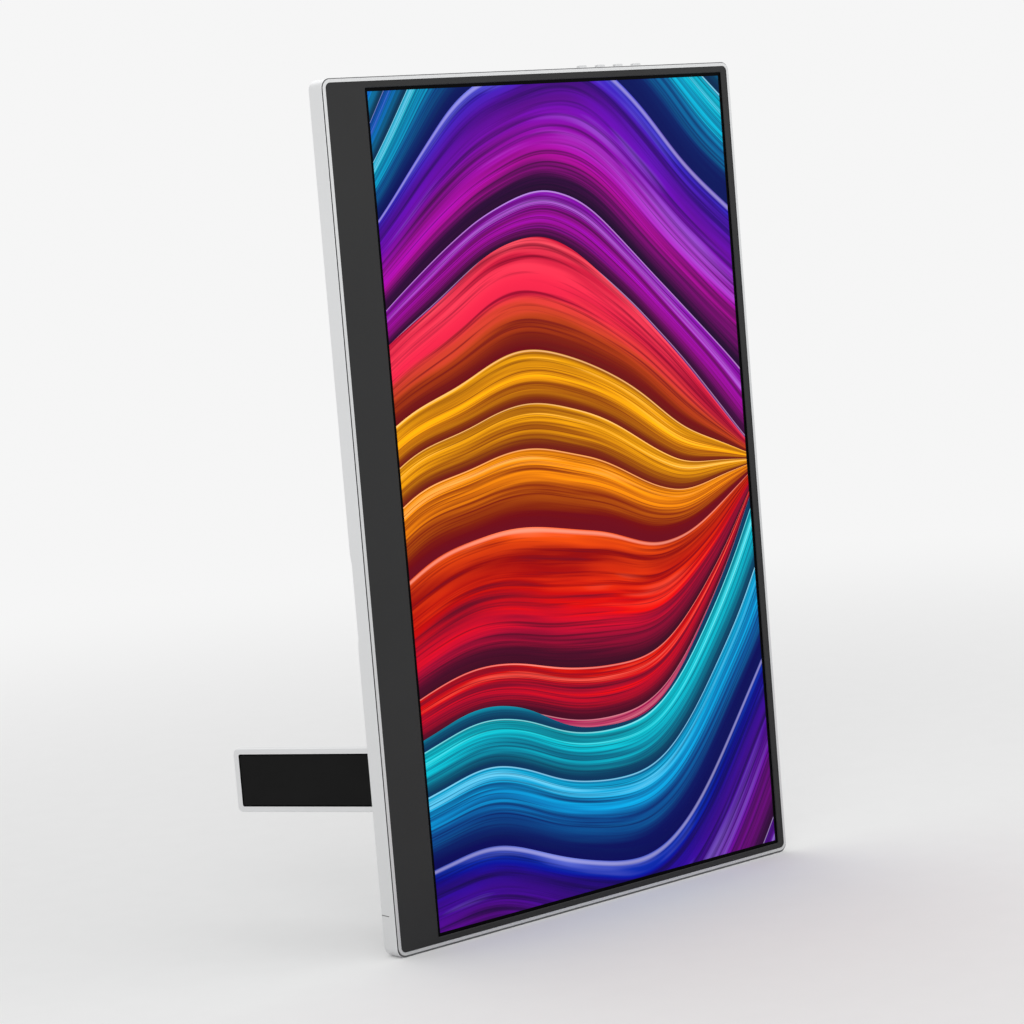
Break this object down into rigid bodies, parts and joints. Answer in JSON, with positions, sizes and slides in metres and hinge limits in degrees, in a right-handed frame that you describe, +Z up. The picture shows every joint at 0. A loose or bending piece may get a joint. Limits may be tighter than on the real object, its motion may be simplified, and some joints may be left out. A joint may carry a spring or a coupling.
{
  "type": "portable monitor",
  "caption": "Slim portable monitor in a silver metal housing with a dark bezel, wide on one side, edge buttons and sockets, and a swing-out leg on its back.",
  "frame": {"origin": "centre of the flat short side that the monitor stands on, halfway through its thickness", "axes": "+X to the right across the screen as seen from the front, +Y from the screen to the back, +Z up the long side"},
  "size_m": [0.223, 0.1243, 0.3574],
  "materials": {
    "housing_silver": "fine bead-blasted, clear anodised",
    "frame_silver": "fine bead-blasted, with a brighter cut edge",
    "bezel_dark": "fine matt texture",
    "tape_black": "foam tape",
    "gasket_black": "closed foam",
    "picture": "lit picture under a matt polariser",
    "glass_black": "black-masked glass",
    "film_white": "frosted film",
    "guide_clear": "polished acrylic",
    "reflector_white": "white film",
    "lamp_strip": "white board with yellow phosphor lamps",
    "tray_steel": "galvanised sheet",
    "board_green": "green solder mask",
    "flex_amber": "amber film",
    "chip_black": "moulded black",
    "connector_cream": "moulded cream",
    "ribbon_white": "white ribbon film",
    "button_silver": "satin metallised",
    "socket_steel": "plated shell",
    "tongue_black": "moulded black",
    "speaker_black": "moulded black",
    "cone_grey": "pressed cone",
    "lead_black": "sleeved lead",
    "screw_steel": "zinc plated",
    "bracket_steel": "sintered steel",
    "leg_silver": "fine bead-blasted, clear anodised",
    "inlay_dark": "matt pad"
  },
  "bodies": {
    "housing": {"back_cover": "housing_silver", "front_frame": "frame_silver", "bezel": "bezel_dark", "bezel_adhesive": "tape_black", "display_gasket": "gasket_black", "display_picture": "picture", "display_glass": "glass_black", "optical_films": "film_white", "light_guide": "guide_clear", "reflector_sheet": "reflector_white", "led_strip": "lamp_strip", "panel_tray": "tray_steel", "panel_board": "board_green", "panel_flexes": "flex_amber", "main_board": "board_green", "board_chips": "chip_black", "board_shield": "tray_steel", "board_connectors": "connector_cream", "panel_cable": "ribbon_white", "key_board": "board_green", "key_cable": "ribbon_white", "button_switches": "chip_black", "data_socket_shells": "socket_steel", "data_socket_tongues": "tongue_black", "video_socket_shell": "socket_steel", "video_socket_tongue": "tongue_black", "headphone_jack": "tongue_black", "speakers": "speaker_black", "speaker_cones": "cone_grey", "speaker_leads": "lead_black", "small_screws": "screw_steel", "hinge_brackets": "bracket_steel"},
    "leg": {"leg_plate": "leg_silver", "leg_inlay": "inlay_dark", "hinge_pin": "screw_steel"},
    "button_1": {"button_1": "button_silver"},
    "button_2": {"button_2": "button_silver"},
    "button_3": {"button_3": "button_silver"},
    "button_4": {"button_4": "button_silver"}
  },
  "joints": [
    {"name": "leg_hinge", "type": "hinge", "parent": "housing", "child": "leg", "pos_m": [-0.03785, 0.0026, 0.0605], "axis": [0, 0, 1], "range_deg": [-118, 2]},
    {"name": "button_1_press", "type": "slide", "parent": "housing", "child": "button_1", "axis": [0, 0, -1], "range_m": [0, 0.0004], "stiffness_N_per_m": 1500},
    {"name": "button_2_press", "type": "slide", "parent": "housing", "child": "button_2", "axis": [0, 0, -1], "range_m": [0, 0.0004], "stiffness_N_per_m": 1500},
    {"name": "button_3_press", "type": "slide", "parent": "housing", "child": "button_3", "axis": [0, 0, -1], "range_m": [0, 0.0004], "stiffness_N_per_m": 1500},
    {"name": "button_4_press", "type": "slide", "parent": "housing", "child": "button_4", "axis": [0, 0, -1], "range_m": [0, 0.0004], "stiffness_N_per_m": 1500}
  ]
}
